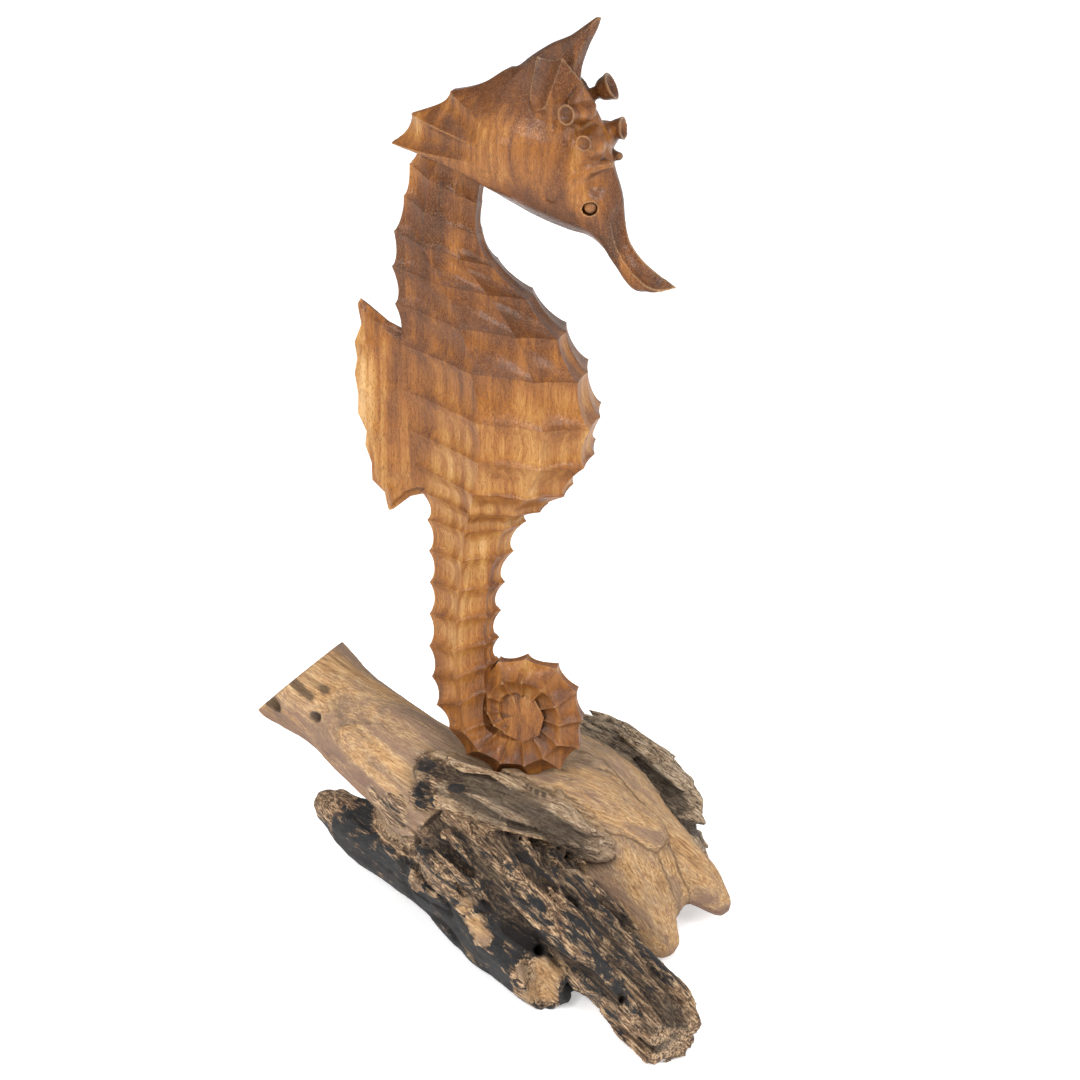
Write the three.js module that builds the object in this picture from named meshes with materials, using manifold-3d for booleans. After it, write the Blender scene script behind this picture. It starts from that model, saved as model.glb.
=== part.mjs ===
// A seahorse carved from one block of hardwood, standing on the curl of its tail on a piece of
// weathered root. Millimetres, +Z up. The seahorse's middle plane is X-Z, its belly faces +X, and
// its head turns a little towards -Y. The origin is on the ground, under the middle of the whole.
import * as THREE from "three";
import { mergeVertices } from "three/addons/utils/BufferGeometryUtils.js";
import Module from "manifold-3d";

const wasm = await Module();
wasm.setup();

// Driving sizes
const CLEARANCE = 0.4; // gap between the tail and its seat in the root
const RING_STEPS = 4; // cross-sections between two ring ridges
const RING_SCOOP = 0.1; // depth of a scoop between ridges, as a share of the half width
const MOST_SCOOP = 3.2; // the deepest a scoop gets on the back
const BELLY_SCOOP = 1.6; // how much deeper the scoops are along the belly than on the back
const SIDE_SCOOP = 0.8; // how deep they are on the sides, as a share of that on the back
const NECK_SCOOP = 0.6; // how deep they are at the top of the neck, as a share of that on the trunk
const CURL_SCOOP = 1.3; // and in the curl
const HEAD_TURN = -0.18; // turn of the head about the neck, in radians
const NECK_PIVOT_X = -20;

// One row per ring of the neck, body and tail, from the head down: the ring's number, its back
// ridge (x, z), its belly keel (x, z) and its half width.
const BODY_RINGS = [
  [-1, -33, 408, -4, 392, 9],
  [0, -39, 397, -6, 380, 10],
  [1, -42, 382, -6, 365, 11],
  [2, -47, 365, 1.5, 351, 12],
  [3, -48.5, 348, 18, 337, 15],
  [4, -47.5, 330, 33.5, 320, 21],
  [5, -46.5, 311, 43.5, 301, 27],
  [6, -45, 288, 49.5, 279, 31],
  [7, -43, 268, 47, 260, 31],
  [8, -41, 250, 37, 244, 28],
  [9, -36.5, 236, 25, 233, 23],
  [10, -34, 222, 14.5, 223, 18],
  [12, -33.5, 189, 4, 190, 14.5],
  [14, -34.5, 154, 1, 160, 13.5],
  [15, -33.5, 137, 1, 148, 13],
  [16, -31.5, 121, 0, 135, 12.5],
];

// The tail's curl, turning from under the tail forward and up: one row per key ring gives its
// number, angle about the curl's centre, outer radius, inner radius and half width.
const CURL = { x: 10.7, z: 119 };
const CURL_RINGS = [
  [17, 196, 37.5, 14, 12.5],
  [18, 222, 37, 11.5, 12.3],
  [20, 278, 36.5, 8, 12],
  [22, 332, 34.5, 6.8, 11.8],
  [23, 360, 32, 6.5, 11.5],
  [25, 416, 33.5, 6.5, 11],
  [26, 444, 32, 6.5, 10.5],
  [27, 472, 27, 6.5, 10.5],
  [28, 500, 22.5, 6, 10],
  [29, 530, 19.5, 5, 9.5],
  [31, 590, 14.5, 3, 7.5],
];
const CURL_HEART = { radius: 13, thick: 3.6 };

// Half of a cross-section of the body, as [share of the way from back to belly, share of the half
// width], at the neck, at the trunk and at the tail. Rings between them are blended.
const SECTION_NECK = [[0, 0.3], [0.31, 1], [0.67, 0.92], [0.96, 0.6]];
const SECTION_TRUNK = [[0, 0.14], [0.44, 1], [0.76, 0.92], [0.975, 0.58]];
const SECTION_TAIL = [[0, 0.32], [0.43, 1], [0.83, 0.56], [0.94, 0.28]];
const TRUNK_FROM = 4;
const TRUNK_TO = 8;
const TAIL_FROM = 11;

// Cross-sections of the head from its rear point to the snout, in the head's own plane: the upper
// edge (x, z), the lower edge (x, z) and the half width.
const HEAD_SECTIONS = [
  [-49.5, 405, -49, 403, 1],
  [-38.5, 419, -37, 402, 7],
  [-22, 429.5, -20, 398, 13],
  [-7, 437, -3, 392, 17],
  [6, 443, 9, 384, 20],
  [20, 445, 19, 379, 21.5],
  [36, 441, 30, 375, 20],
  [48, 428, 39, 372.5, 17],
  [54, 414, 45, 371.5, 14.5],
  [57.5, 402, 50, 369, 12.5],
  [61, 391, 54, 365.5, 10],
  [62.5, 379, 57, 361, 7.5],
  [65, 370, 60, 357, 6.3],
  [71, 362, 63.5, 352, 6],
  [79, 356, 68, 348.5, 6.5],
  [87, 351, 74, 348, 4],
];
const SECTION_HEAD = [[0.13, 0.5], [0.42, 1], [0.78, 0.8], [0.98, 0.3]];
const EYE = { x: 49.8, z: 387.8, y: 10, radius: 3.8 };

// The crown: a tall crest behind and two pointed lobes on each side of it, each as rows of
// [front x, rear x, z, half width], and horns with a flat flared end, as a foot, a direction,
// a length and the radii of the stem and the end.
const CREST = [
  [42, 2, 430, 12], [40.5, 13, 446, 9], [43.5, 28.5, 457, 6.5], [46.5, 38.5, 462, 4.5], [50.2, 48, 469, 1],
];
const LOBES = [
  {
    out: 13,
    rows: [[42, 12, 412, 7], [42, 17, 426, 7], [41, 23, 437, 5], [40, 30, 446, 3], [38.5, 36, 453, 0.8]],
  },
  { out: 9, rows: [[51, 28, 410, 7], [50, 30, 424, 6], [48, 37, 434, 4], [45.8, 43.5, 443, 0.8]] },
];
const HORNS = [
  { foot: [49, -14.5, 433.5], aim: [-0.6, -0.78, -0.16], length: 10.5, stem: 4.2, end: 4.5 },
  { foot: [42, 7, 431], aim: [0.45, 1, 0.2], length: 14, stem: 4, end: 6.5 },
  { foot: [52, -10, 418], aim: [0.1, -1, 0.05], length: 9.5, stem: 3.4, end: 3.7 },
  { foot: [50.5, 7, 417], aim: [0.5, 1, 0], length: 11.5, stem: 3.6, end: 5.3 },
];

// The back fin: its outer edge from the top point down, as [x, z]
const FIN_EDGE = [
  [-64, 330.5], [-65.5, 328], [-64, 318], [-67.5, 309], [-66.5, 301], [-68, 293], [-66.5, 283],
  [-67, 273], [-63, 264], [-64, 257], [-61, 248], [-61, 239], [-55, 233], [-53.5, 223.5], [-51.5, 223],
];
const FIN_ROOT = [[-45, 229], [-36, 234], [-36, 314], [-47, 317], [-52, 319], [-57, 324]];
const FIN_THICK = 5;
const FIN_BEVEL = 1.6;

// The root: limbs as rows of [x, y, z, radius]
const LIMBS = {
  log: [
    [-112, 39, 108, 28], [-90, 27, 100, 23.5], [-69, 15, 90, 25], [-51, 8, 80, 27], [-30, 7, 66, 31],
    [-10, 25, 52, 34],
  ],
  left_lobe: [
    [-96, 31, 36, 9], [-73, 15, 34, 16.5], [-49, 3, 32, 19.5], [-21, -17, 27, 21], [3, -41, 22, 20],
    [25, -64, 18, 17.5], [36, -76, 13, 12.5],
  ],
  front_arm: [
    [-7, -17, 48, 32], [22, -35, 42, 27], [47, -54, 34, 22], [70, -73, 26, 19], [89, -93, 19, 17],
    [103, -111, 14, 13],
  ],
  upper_spur: [[25, 33, 60, 27], [51, 34, 50, 22], [73, 23, 38, 17], [96, 10, 26, 13], [111, 6, 15, 7]],
  spur_web: [[48, 22, 46, 22], [70, 8, 34, 18], [85, -5, 23, 11]],
  lower_spur: [[26, 24, 56, 28], [50, 7, 42, 24], [67, -5, 28, 20], [86, -28, 13, 9]],
  rear_lobe: [
    [14, 55, 52, 32], [35, 69, 54, 25], [54, 72, 47, 24], [69, 69, 34, 22], [79, 65, 19, 18],
    [83, 60, 6, 16],
  ],
  rear_foot: [[-14, 34, 46, 28], [-30, 52, 30, 22], [-42, 64, 15, 18], [-47, 69, 2, 15]],
  heart: [[-40, 8, 50, 24], [-12, 10, 50, 38], [22, 26, 48, 38], [44, 42, 44, 26]],
  rim: [[-33, -9, 85, 12], [-6, -19, 82, 14], [22, -22, 79, 15], [46, -15, 69, 14], [60, -9, 58, 10]],
};
const LIMB_SIDES = 14;
const LIMB_STEPS = 2; // cross-sections between two rows
const LUMP = 2.2; // height of the lumps
const FLAT = 2; // how much is worn off the feet
const LOG_CUT = { point: [-112, 39, 108], normal: [-0.676, 0.215, 0.706] };

const WOOD_COLOUR = 0x9a6535;
const ROOT_COLOUR = 0x6d5638;

// Geometry helpers

// A closed surface through a list of rings of points, with a fan at each end
function loft(rings) {
  const sides = rings[0].length;
  const points = rings.flat();
  const first = points.push(centreOf(rings[0])) - 1;
  const last = points.push(centreOf(rings[rings.length - 1])) - 1;
  const faces = [];
  for (let j = 0; j < sides; j++) {
    const k = (j + 1) % sides;
    for (let i = 0; i + 1 < rings.length; i++) {
      const a = i * sides;
      faces.push(a + j, a + k, a + sides + j, a + k, a + sides + k, a + sides + j);
    }
    const end = (rings.length - 1) * sides;
    faces.push(first, k, j, last, end + j, end + k);
  }
  const geometry = new THREE.BufferGeometry().setFromPoints(points);
  geometry.setIndex(faces);
  return geometry;
}

function centreOf(points) {
  return points.reduce((sum, p) => sum.add(p), new THREE.Vector3()).divideScalar(points.length);
}

// A closed geometry as a solid for joining and cutting
function solid(geometry) {
  const bare = new THREE.BufferGeometry();
  bare.setAttribute("position", geometry.getAttribute("position"));
  bare.setIndex(geometry.index);
  const merged = mergeVertices(bare, 1e-4);
  const made = new wasm.Manifold(
    new wasm.Mesh({
      numProp: 3,
      vertProperties: merged.attributes.position.array,
      triVerts: new Uint32Array(merged.index.array),
    }),
  );
  if (made.volume() > 0) return made;
  const turned = merged.index.array.slice().reverse();
  merged.setIndex(new THREE.BufferAttribute(turned, 1));
  return solid(merged);
}

function geometryOf(manifold) {
  const mesh = manifold.getMesh();
  const positions = new Float32Array(mesh.numVert * 3);
  for (let i = 0; i < mesh.numVert; i++) {
    positions.set(mesh.vertProperties.subarray(i * mesh.numProp, i * mesh.numProp + 3), i * 3);
  }
  const geometry = new THREE.BufferGeometry();
  geometry.setAttribute("position", new THREE.BufferAttribute(positions, 3));
  geometry.setIndex(new THREE.BufferAttribute(mesh.triVerts, 1));
  return geometry;
}

const joined = (solids) => solids.reduce((all, next) => all.add(next));
const mix = (a, b, t) => a + (b - a) * t;
const smooth = (x, from, to) => THREE.MathUtils.smoothstep(x, from, to);

// The rows of a table blended smoothly at any value of their first column
function rowAt(rows, key) {
  const last = rows.length - 2;
  let i = rows.findIndex((row, n) => n > 0 && row[0] >= key) - 1;
  i = i < 0 ? last : i;
  const t = (key - rows[i][0]) / (rows[i + 1][0] - rows[i][0]);
  const before = rows[Math.max(i - 1, 0)];
  const after = rows[Math.min(i + 2, last + 1)];
  return rows[i].map((value, column) => {
    const step = rows[i + 1][0] - rows[i][0];
    const slopeIn = ((rows[i + 1][column] - before[column]) / (rows[i + 1][0] - before[0])) * step;
    const slopeOut = ((after[column] - value) / (after[0] - rows[i][0])) * step;
    const u = 1 - t;
    return (
      value * u * u * (1 + 2 * t) + rows[i + 1][column] * t * t * (3 - 2 * t) +
      slopeIn * t * u * u - slopeOut * t * t * u
    );
  });
}

// Seahorse

// The back point, belly point and half width of the body at a ring number
function bodyAt(ring) {
  if (ring <= 16) {
    const [, backX, backZ, bellyX, bellyZ, half] = rowAt(BODY_RINGS, ring);
    return { back: [backX, backZ], belly: [bellyX, bellyZ], half };
  }
  if (ring < 17) {
    const [above, below] = [bodyAt(16), bodyAt(17)];
    const t = ring - 16;
    const blend = (a, b) => a.map((value, i) => mix(value, b[i], t));
    return {
      back: blend(above.back, below.back),
      belly: blend(above.belly, below.belly),
      half: mix(above.half, below.half, t),
    };
  }
  const [, degrees, outer, inner, half] = rowAt(CURL_RINGS, ring);
  const angle = THREE.MathUtils.degToRad(degrees);
  const on = (radius) => [CURL.x + radius * Math.cos(angle), CURL.z + radius * Math.sin(angle)];
  return { back: on(outer), belly: on(inner), half };
}

function sectionAt(ring) {
  const toTrunk = smooth(ring, 1, TRUNK_FROM + 1);
  const toTail = smooth(ring, TRUNK_TO, TAIL_FROM);
  return SECTION_NECK.map((neck, i) =>
    neck.map((value, j) => mix(mix(value, SECTION_TRUNK[i][j], toTrunk), SECTION_TAIL[i][j], toTail)),
  );
}

// How far the scoop between two ridges has sunk, from 0 on a ridge to 1 at its deepest
function scoopAt(ring) {
  const along = ring - Math.floor(ring);
  return Math.min(1, 2.1 * along ** 0.8 * (1 - along) ** 0.6);
}

function bodySection(ring, grow) {
  const { back, belly, half } = bodyAt(ring);
  const depth = Math.hypot(belly[0] - back[0], belly[1] - back[1]);
  const share = mix(NECK_SCOOP, 1, smooth(ring, 0.5, 4)) * mix(1, CURL_SCOOP, smooth(ring, 17, 19));
  const sink = share * scoopAt(ring) * Math.min(MOST_SCOOP, RING_SCOOP * (half + depth / 2));
  const across = (share, width) => {
    const fall = sink * (share > 0.9 ? BELLY_SCOOP : 1);
    const t = mix(share, 0.5, (2 * (fall - grow)) / depth);
    const inset = (grow - SIDE_SCOOP * sink) * Math.min(1, Math.abs(width) * 2);
    const y = width * half + Math.sign(width) * inset;
    return new THREE.Vector3(mix(back[0], belly[0], t), y, mix(back[1], belly[1], t));
  };
  const near = sectionAt(ring).map(([share, width]) => across(share, -width));
  const far = sectionAt(ring).map(([share, width]) => across(share, width)).reverse();
  return [...near, across(1, 0), ...far];
}

function body(fromRing, toRing, grow = 0) {
  const rings = [];
  for (let i = fromRing * RING_STEPS; i <= toRing * RING_STEPS; i++) {
    rings.push(bodySection(i / RING_STEPS, grow));
  }
  return loft(rings);
}

// Wood left in the eye of the curl, so that it is a hollow on each side and not a hole
function curlHeart() {
  const heart = new THREE.CylinderGeometry(CURL_HEART.radius, CURL_HEART.radius, CURL_HEART.thick, 12);
  return heart.translate(CURL.x, 0, CURL.z);
}

function headSection([topX, topZ, lowX, lowZ, half]) {
  const at = (share, width) =>
    new THREE.Vector3(mix(topX, lowX, share), width * half, mix(topZ, lowZ, share));
  const near = SECTION_HEAD.map(([share, width]) => at(share, -width));
  const far = SECTION_HEAD.map(([share, width]) => at(share, width)).reverse();
  return [at(0, 0), ...near, ...far];
}

// A blade that narrows upwards, with a six-sided section
function blade(rows, offset) {
  return loft(
    rows.map(([front, rear, z, half]) => {
      const middle = (front + rear) / 2;
      return [[front, 0.5], [middle, 1], [rear, 0.35], [rear, -0.35], [middle, -1], [front, -0.5]].map(
        ([x, width]) => new THREE.Vector3(x, offset + width * half, z),
      );
    }),
  );
}

// A horn with a waist and a flat flared end
function horn({ foot, aim, length, stem, end }) {
  const rows = [[0, -6], [stem, -6], [0.85 * stem, 0.35 * length], [mix(stem, end, 0.4), 0.7 * length]];
  const profile = [...rows, [end, length], [0, length]];
  const shape = new THREE.LatheGeometry(
    profile.map(([radius, y]) => new THREE.Vector2(radius, y)),
    10,
  );
  const turn = new THREE.Quaternion().setFromUnitVectors(
    new THREE.Vector3(0, 1, 0),
    new THREE.Vector3(...aim).normalize(),
  );
  return shape.applyQuaternion(turn).translate(...foot);
}

function head() {
  const parts = [
    loft(HEAD_SECTIONS.map(headSection)),
    blade(CREST, 0),
    ...LOBES.flatMap(({ out, rows }) => [blade(rows, -out), blade(rows, out)]),
    ...HORNS.map(horn),
    ...[-1, 1].map((side) =>
      new THREE.SphereGeometry(EYE.radius, 12, 8).translate(EYE.x, side * EYE.y, EYE.z),
    ),
  ];
  const turn = new THREE.Matrix4()
    .makeTranslation(NECK_PIVOT_X, 0, 0)
    .multiply(new THREE.Matrix4().makeRotationZ(HEAD_TURN))
    .multiply(new THREE.Matrix4().makeTranslation(-NECK_PIVOT_X, 0, 0));
  return parts.map((part) => solid(part.applyMatrix4(turn)));
}

function fin() {
  const outline = new THREE.Shape([...FIN_EDGE, ...FIN_ROOT].map(([x, z]) => new THREE.Vector2(x, z)));
  const plate = new THREE.ExtrudeGeometry(outline, {
    depth: FIN_THICK - 2 * FIN_BEVEL,
    bevelThickness: FIN_BEVEL,
    bevelSize: FIN_BEVEL,
    bevelOffset: -FIN_BEVEL,
    bevelSegments: 1,
  });
  return plate.translate(0, 0, FIN_BEVEL - FIN_THICK / 2).rotateX(Math.PI / 2);
}

function seahorse() {
  return joined([solid(body(-1, 31)), solid(curlHeart()), solid(fin()), ...head()]);
}

// Root

// Height of the lumps at a point, from -1 to 1
function lumps({ x, y, z }) {
  return (
    0.5 * Math.sin(0.11 * x + 0.07 * y + 1.3) * Math.cos(0.09 * z - 0.12 * y) +
    0.5 * Math.sin(0.21 * x - 0.17 * y + 0.16 * z)
  );
}

// A limb: round sections square to its path, with lumps
function limb(rows) {
  const path = new THREE.CatmullRomCurve3(rows.map(([x, y, z]) => new THREE.Vector3(x, y, z)));
  const count = (rows.length - 1) * LIMB_STEPS;
  const rings = Array.from({ length: count + 1 }, (_, i) => {
    const centre = path.getPoint(i / count);
    const along = path.getTangent(i / count);
    const side = new THREE.Vector3(0, 0, 1).cross(along).normalize();
    const up = along.clone().cross(side);
    const row = Math.min(Math.floor(i / LIMB_STEPS), rows.length - 2);
    const radius = mix(rows[row][3], rows[row + 1][3], i / LIMB_STEPS - row);
    return Array.from({ length: LIMB_SIDES }, (_, j) => {
      const angle = (2 * Math.PI * j) / LIMB_SIDES;
      const out = side.clone().multiplyScalar(Math.cos(angle)).addScaledVector(up, Math.sin(angle));
      const reach = radius + LUMP * lumps(centre.clone().addScaledVector(out, radius));
      return centre.clone().addScaledVector(out, reach);
    });
  });
  return loft(rings);
}

// Everything on the outer side of a plane, as a large block
function blockBeyond(point, normal) {
  const size = 400;
  const block = new THREE.BoxGeometry(size, size, size).translate(0, 0, size / 2);
  const turn = new THREE.Quaternion().setFromUnitVectors(
    new THREE.Vector3(0, 0, 1),
    new THREE.Vector3(...normal).normalize(),
  );
  return block.applyQuaternion(turn).translate(...point);
}

function root() {
  const { log, ...others } = LIMBS;
  const sawn = solid(limb(log)).subtract(solid(blockBeyond(LOG_CUT.point, LOG_CUT.normal)));
  const whole = joined([sawn, ...Object.values(others).map((rows) => solid(limb(rows)))]);
  const ground = solid(blockBeyond([0, 0, FLAT], [0, 0, -1]));
  const seat = solid(body(13, 26, CLEARANCE));
  return whole.subtract(ground).subtract(seat);
}

function piece(name, manifold, color) {
  const material = new THREE.MeshStandardMaterial({ color, roughness: 0.5, metalness: 0 });
  const mesh = new THREE.Mesh(geometryOf(manifold), material);
  mesh.name = name;
  return mesh;
}

const sculpture = new THREE.Group();
sculpture.add(piece("seahorse", seahorse(), WOOD_COLOUR), piece("driftwood_base", root(), ROOT_COLOUR));

// Sets the origin on the ground under the middle
const bounds = new THREE.Box3().setFromObject(sculpture);
const middle = bounds.getCenter(new THREE.Vector3());
sculpture.position.set(-middle.x, -middle.y, -bounds.min.z);

export default sculpture;
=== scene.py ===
# The looks of a carved wooden seahorse on a root. Shapes are worked out in millimetres in the
# sculpture's own frame: its middle plane is X-Z, its belly faces +X and it is seen from its -Y side.
# place() then puts them where the frame's solids are, in metres.
import math

import bpy
import numpy as np
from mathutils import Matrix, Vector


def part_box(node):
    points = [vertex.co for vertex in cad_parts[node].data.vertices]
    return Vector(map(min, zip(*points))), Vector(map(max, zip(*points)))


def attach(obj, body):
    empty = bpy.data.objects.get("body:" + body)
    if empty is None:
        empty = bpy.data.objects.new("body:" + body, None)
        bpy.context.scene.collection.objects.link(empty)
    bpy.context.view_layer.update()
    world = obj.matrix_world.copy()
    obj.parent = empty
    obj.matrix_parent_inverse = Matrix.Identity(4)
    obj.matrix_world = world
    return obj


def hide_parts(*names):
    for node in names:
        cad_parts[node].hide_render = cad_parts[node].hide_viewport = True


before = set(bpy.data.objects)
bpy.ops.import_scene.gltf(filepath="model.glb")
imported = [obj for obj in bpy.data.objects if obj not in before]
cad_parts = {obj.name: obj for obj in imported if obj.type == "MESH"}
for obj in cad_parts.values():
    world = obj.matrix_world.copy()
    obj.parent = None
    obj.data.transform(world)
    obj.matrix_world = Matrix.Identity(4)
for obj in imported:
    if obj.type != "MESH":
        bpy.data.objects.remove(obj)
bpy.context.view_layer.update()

import openvdb as vdb
from mathutils import Matrix, Vector

MM = 0.001

# Where the sculpture's own frame lies in the frame of the solids: its fin's rear edge, its trunk's
# widest point and the tip of its crest are known in both.
FIN_REAR_X = -68.0
TRUNK_SIDE_Y = 31.0
CREST_TIP_Z = 469.0
figure_low, figure_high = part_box("seahorse")
OFFSET = np.array([
    figure_low[0] / MM - FIN_REAR_X,
    figure_high[1] / MM - TRUNK_SIDE_Y,
    figure_high[2] / MM - CREST_TIP_Z,
])

# The body, as in the solids: one row per ring of the neck, body and tail, from the head down: the
# ring's number, its back ridge (x, z), its belly keel (x, z) and its half width
BODY_RINGS = [
    [-1, -33, 408, -4, 392, 9],
    [0, -39, 397, -6, 380, 10],
    [1, -42, 382, -6, 365, 11],
    [2, -47, 365, 1.5, 351, 12],
    [3, -48.5, 348, 18, 337, 15],
    [4, -47.5, 330, 33.5, 320, 21],
    [5, -46.5, 311, 43.5, 301, 27],
    [6, -45, 288, 49.5, 279, 31],
    [7, -43, 268, 47, 260, 31],
    [8, -41, 250, 37, 244, 28],
    [9, -36.5, 236, 25, 233, 23],
    [10, -34, 222, 14.5, 223, 18],
    [12, -33.5, 189, 4, 190, 14.5],
    [14, -34.5, 154, 1, 160, 13.5],
    [15, -33.5, 137, 1, 148, 13],
    [16, -31.5, 121, 0, 135, 12.5],
]
# The tail's curl: ring number, angle about the curl's centre, outer and inner radius, half width
CURL_X, CURL_Z = 10.7, 119.0
CURL_RINGS = [
    [17, 196, 37.5, 14, 12.5],
    [18, 222, 37, 11.5, 12.3],
    [20, 278, 36.5, 8, 12],
    [22, 332, 34.5, 6.8, 11.8],
    [23, 360, 32, 6.5, 11.5],
    [25, 416, 33.5, 6.5, 11],
    [26, 444, 32, 8, 10.5],
    [27, 470, 31, 9.5, 10.5],
    [28, 500, 26, 9.5, 10],
    [29, 530, 20.5, 8.5, 9.5],
    [31, 590, 14.5, 6, 7.5],
]
CURL_HEART = 13.0  # radius of the wood left in the eye of the curl
FIRST_RING, LAST_RING = -1, 31

# Half of a cross-section: share of the way from back to belly, and share of the half width
SECTION_NECK = [[0, 0.3], [0.31, 1], [0.67, 0.92], [0.96, 0.6]]
SECTION_TRUNK = [[0, 0.14], [0.44, 1], [0.76, 0.92], [0.975, 0.58]]
SECTION_TAIL = [[0, 0.32], [0.43, 1], [0.83, 0.56], [0.94, 0.28]]

RING_ROWS = 18  # rows of faces between two rings
PANEL_COLUMNS = [6, 12, 10, 7, 3]  # columns of faces over the back strip and each panel of a side
RING_SCOOP = 0.1  # depth of a scoop between rings, as a share of the section's mean radius
MOST_SCOOP = 3.2
BELLY_SCOOP = 1.6  # how much deeper a scoop is at the belly keel, and in the curl
CURL_SCOOP = 1.5
SIDE_SCOOP = 0.8
PANEL_SCOOP = 0.1  # depth of a panel's hollow, as a share of its width
MOST_PANEL_SCOOP = 2.1

HEAD_TURN = -0.18  # radians about the neck
NECK_PIVOT_X = -20.0


def row_at(rows, key):
    """The rows of a table blended smoothly at a value of their first column."""
    rows = np.asarray(rows, float)
    i = int(np.clip(np.searchsorted(rows[:, 0], key, side="left") - 1, 0, len(rows) - 2))
    step = rows[i + 1, 0] - rows[i, 0]
    t = (key - rows[i, 0]) / step
    before, after = rows[max(i - 1, 0)], rows[min(i + 2, len(rows) - 1)]
    slope_in = (rows[i + 1] - before) / (rows[i + 1, 0] - before[0]) * step
    slope_out = (after - rows[i]) / (after[0] - rows[i, 0]) * step
    u = 1 - t
    return (rows[i] * u * u * (1 + 2 * t) + rows[i + 1] * t * t * (3 - 2 * t)
            + slope_in * t * u * u - slope_out * t * t * u)


def ease(x, low, high):
    """0 below low, 1 above high, and smooth between them."""
    t = np.clip((np.asarray(x, float) - low) / (high - low), 0, 1)
    return t * t * (3 - 2 * t)


def mix(a, b, t):
    return a + (b - a) * t


def between(field, cell, ahead, f):
    """A field's values, blended between the corners cell and ahead at shares f of the way."""
    (x0, y0, z0), (x1, y1, z1), (fx, fy, fz) = cell.T, ahead.T, f.T
    low = mix(mix(field[x0, y0, z0], field[x1, y0, z0], fx),
              mix(field[x0, y1, z0], field[x1, y1, z0], fx), fy)
    high = mix(mix(field[x0, y0, z1], field[x1, y0, z1], fx),
               mix(field[x0, y1, z1], field[x1, y1, z1], fx), fy)
    return mix(low, high, fz)


LATTICE = np.random.default_rng(5).random((64, 64, 64), dtype=np.float32)


def noise(points, size, seed=0):
    """Smooth noise from -1 to 1 at (n, 3) points; size is how wide its lumps are."""
    p = np.asarray(points, np.float32) / np.asarray(size, np.float32) + np.float32(7.31 * seed)
    cell = np.floor(p).astype(np.int32)
    f = p - cell
    return 2 * between(LATTICE, cell & 63, (cell + 1) & 63, f * f * (3 - 2 * f)) - 1


def fractal(points, size, octaves, seed=0):
    """Noise with finer and finer lumps on it."""
    size = np.asarray(size, np.float32)
    total = sum(noise(points, size / 2**k, seed + 17 * k) / 2**k for k in range(octaves))
    return total / (2 - 2.0 ** (1 - octaves))


# Meshes and level sets

def place(points):
    """Points of the sculpture's own frame, in millimetres, where the solids are, in metres."""
    return (np.asarray(points) + OFFSET) * MM


def read(items, key, width, kind=np.float32):
    """A property of a mesh's vertices, edges or faces, as rows of that width."""
    values = np.empty(len(items) * width, kind)
    items.foreach_get(key, values)
    return values.reshape(-1, width)


def store(mesh, label, values, kind="FLOAT", key="value"):
    """Keeps a value for each vertex as an attribute."""
    attribute = mesh.attributes.new(label, kind, "POINT")
    attribute.data.foreach_set(key, np.asarray(values, np.float32).ravel())


def new_piece(name, points, triangles, quads):
    """An object with that closed surface, its normals outwards."""
    mesh = bpy.data.meshes.new(name)
    corners = [list(map(int, face)) for face in (*triangles, *quads)]
    mesh.from_pydata(place(points).tolist(), [], corners)
    mesh.validate()
    faces = mesh.polygons
    if (read(faces, "center", 3) * read(faces, "normal", 3) * read(faces, "area", 1)).sum() < 0:
        mesh.flip_normals()
    piece = bpy.data.objects.new(name, mesh)
    bpy.context.scene.collection.objects.link(piece)
    return piece


def apply_modifiers(piece):
    """Makes what the modifiers do a part of the mesh."""
    graph = bpy.context.evaluated_depsgraph_get()
    done = bpy.data.meshes.new_from_object(piece.evaluated_get(graph))
    piece.modifiers.clear()
    piece.data = done


def loft(rings):
    """The points, triangles and quads of a closed surface through rings of points, a fan at each end."""
    rings = np.asarray(rings)
    count, sides, _ = rings.shape
    points = np.vstack([rings.reshape(-1, 3), rings[0].mean(0), rings[-1].mean(0)])
    grid = np.arange(count * sides).reshape(count, sides)
    ahead = np.roll(grid, -1, axis=1)
    quads = np.stack([grid[:-1], ahead[:-1], ahead[1:], grid[1:]], axis=-1).reshape(-1, 4)
    first, last = count * sides, count * sides + 1
    fan = [(first, b, a) for a, b in zip(grid[0], ahead[0])]
    fan += [(last, a, b) for a, b in zip(grid[-1], ahead[-1])]
    return points, np.array(fan), quads


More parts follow.
